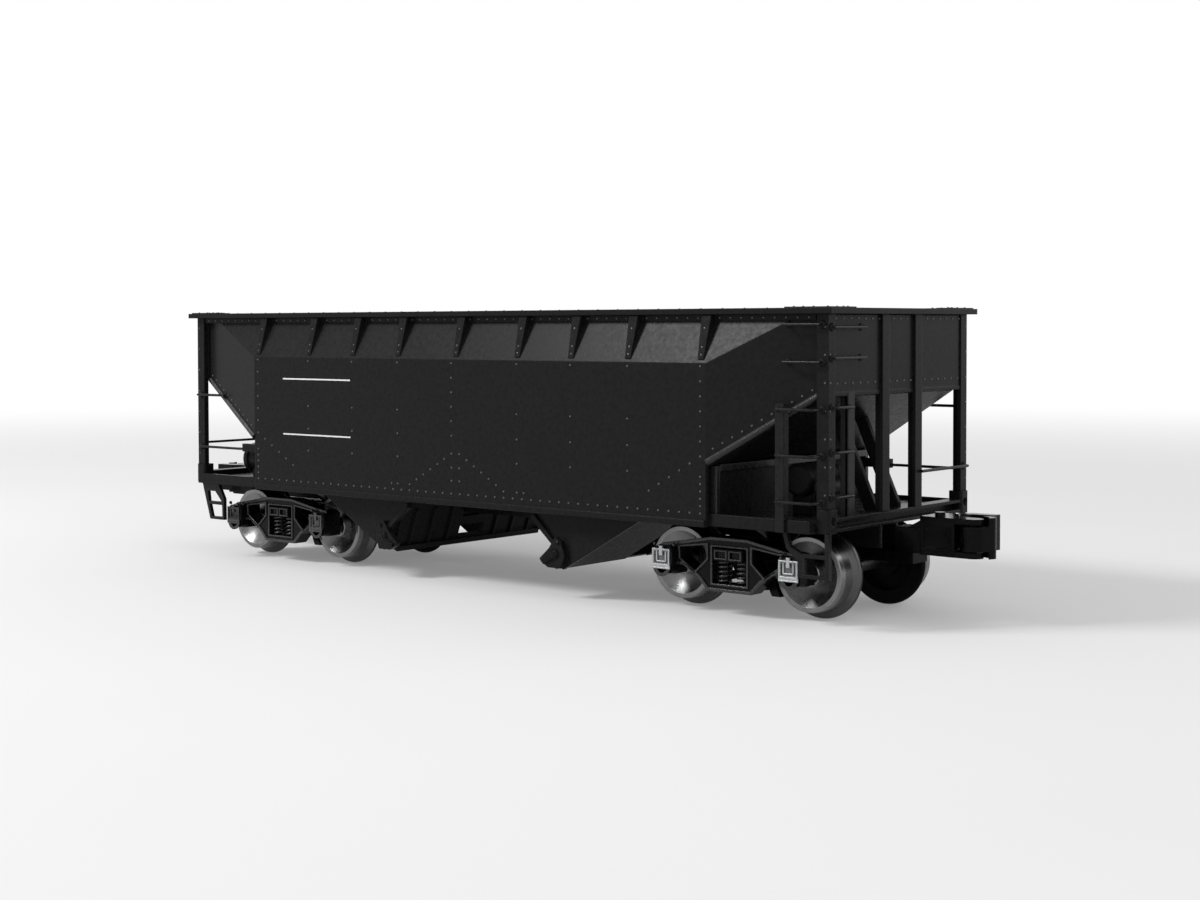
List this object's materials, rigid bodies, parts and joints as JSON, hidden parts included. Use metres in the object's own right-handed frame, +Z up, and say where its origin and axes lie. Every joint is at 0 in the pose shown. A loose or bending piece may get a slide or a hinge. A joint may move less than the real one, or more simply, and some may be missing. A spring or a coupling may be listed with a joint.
{
  "type": "model hopper car",
  "caption": "Scale-model open-top hopper freight car with offset sides, sloped floors, drop doors, swivelling sprung trucks and knuckle couplers.",
  "frame": {"origin": "centre of the footprint, level with the foot of the wheel flanges", "axes": "+X along the car towards end a, +Y to the left side, +Z up"},
  "size_m": [0.26, 0.0702, 0.0698],
  "materials": {
    "body_paint": "satin black paint on moulded shell",
    "truck_casting": "gloss black paint on die casting",
    "coupler_casting": "gloss black",
    "wheel_steel": "bright turned rim and tread",
    "axle_steel": "dark steel",
    "lid_silver": "silver paint",
    "spring_steel": "dark spring steel",
    "wire_black": "satin black wire"
  },
  "bodies": {
    "car": {"air_reservoir": "body_paint", "bay_plates_a": "body_paint", "bay_plates_b": "body_paint", "body_bolster_a": "body_paint", "body_bolster_b": "body_paint", "brake_cylinder": "body_paint", "centre_ridge": "body_paint", "centre_sill": "body_paint", "control_valve": "body_paint", "corner_posts": "body_paint", "end_posts": "body_paint", "end_sheet_a": "body_paint", "end_sheet_b": "body_paint", "end_sill_a": "body_paint", "end_sill_b": "body_paint", "hand_brake": "body_paint", "hand_grabs": "wire_black", "hinge_rods": "wire_black", "kingpins": "truck_casting", "ladders_a": "wire_black", "ladders_b": "wire_black", "platform_a": "body_paint", "platform_b": "body_paint", "side_left": "body_paint", "side_right": "body_paint", "side_sill_left": "body_paint", "side_sill_right": "body_paint", "sill_steps": "wire_black", "slope_braces": "body_paint", "slope_sheet_a": "body_paint", "slope_sheet_b": "body_paint", "top_chord": "body_paint"},
    "truck_a": {"brake_beams_a": "truck_casting", "coupler_a": "coupler_casting", "journal_lids_a": "lid_silver", "side_frame_left_a": "truck_casting", "side_frame_right_a": "truck_casting", "springs_a": "spring_steel", "truck_bolster_a": "truck_casting"},
    "truck_b": {"brake_beams_b": "truck_casting", "coupler_b": "coupler_casting", "journal_lids_b": "lid_silver", "side_frame_left_b": "truck_casting", "side_frame_right_b": "truck_casting", "springs_b": "spring_steel", "truck_bolster_b": "truck_casting"},
    "door_a": {"door_a": "body_paint"},
    "door_b": {"door_b": "body_paint"},
    "knuckle_a": {"knuckle_a": "coupler_casting"},
    "knuckle_b": {"knuckle_b": "coupler_casting"},
    "wheelset_a1": {"axle_a1": "axle_steel", "wheels_a1": "wheel_steel"},
    "wheelset_a2": {"axle_a2": "axle_steel", "wheels_a2": "wheel_steel"},
    "wheelset_b1": {"axle_b1": "axle_steel", "wheels_b1": "wheel_steel"},
    "wheelset_b2": {"axle_b2": "axle_steel", "wheels_b2": "wheel_steel"}
  },
  "joints": [
    {"name": "truck_a_swivel", "type": "hinge", "parent": "car", "child": "truck_a", "pos_m": [0.077, 0, 0.0155], "axis": [0, 0, 1], "range_deg": [-10, 10]},
    {"name": "wheelset_a1_turn", "type": "hinge", "parent": "truck_a", "child": "wheelset_a1", "pos_m": [0.0945, 0, 0.01043], "axis": [0, 1, 0], "continuous": true},
    {"name": "wheelset_a2_turn", "type": "hinge", "parent": "truck_a", "child": "wheelset_a2", "pos_m": [0.0595, 0, 0.01043], "axis": [0, 1, 0], "continuous": true},
    {"name": "knuckle_a_open", "type": "hinge", "parent": "truck_a", "child": "knuckle_a", "pos_m": [0.126, -0.0026, 0.0193], "axis": [0, 0, -1], "range_deg": [0, 45]},
    {"name": "door_a_open", "type": "hinge", "parent": "car", "child": "door_a", "pos_m": [0.0244, 0, 0.0204], "axis": [0, 1, 0], "range_deg": [0, 45]},
    {"name": "truck_b_swivel", "type": "hinge", "parent": "car", "child": "truck_b", "pos_m": [-0.077, 0, 0.0155], "axis": [0, 0, 1], "range_deg": [-10, 10]},
    {"name": "wheelset_b1_turn", "type": "hinge", "parent": "truck_b", "child": "wheelset_b1", "pos_m": [-0.0945, 0, 0.01043], "axis": [0, 1, 0], "continuous": true},
    {"name": "wheelset_b2_turn", "type": "hinge", "parent": "truck_b", "child": "wheelset_b2", "pos_m": [-0.0595, 0, 0.01043], "axis": [0, 1, 0], "continuous": true},
    {"name": "knuckle_b_open", "type": "hinge", "parent": "truck_b", "child": "knuckle_b", "pos_m": [-0.126, 0.0026, 0.0193], "axis": [0, 0, -1], "range_deg": [0, 45]},
    {"name": "door_b_open", "type": "hinge", "parent": "car", "child": "door_b", "pos_m": [-0.0244, 0, 0.0204], "axis": [0, -1, 0], "range_deg": [0, 45]}
  ]
}
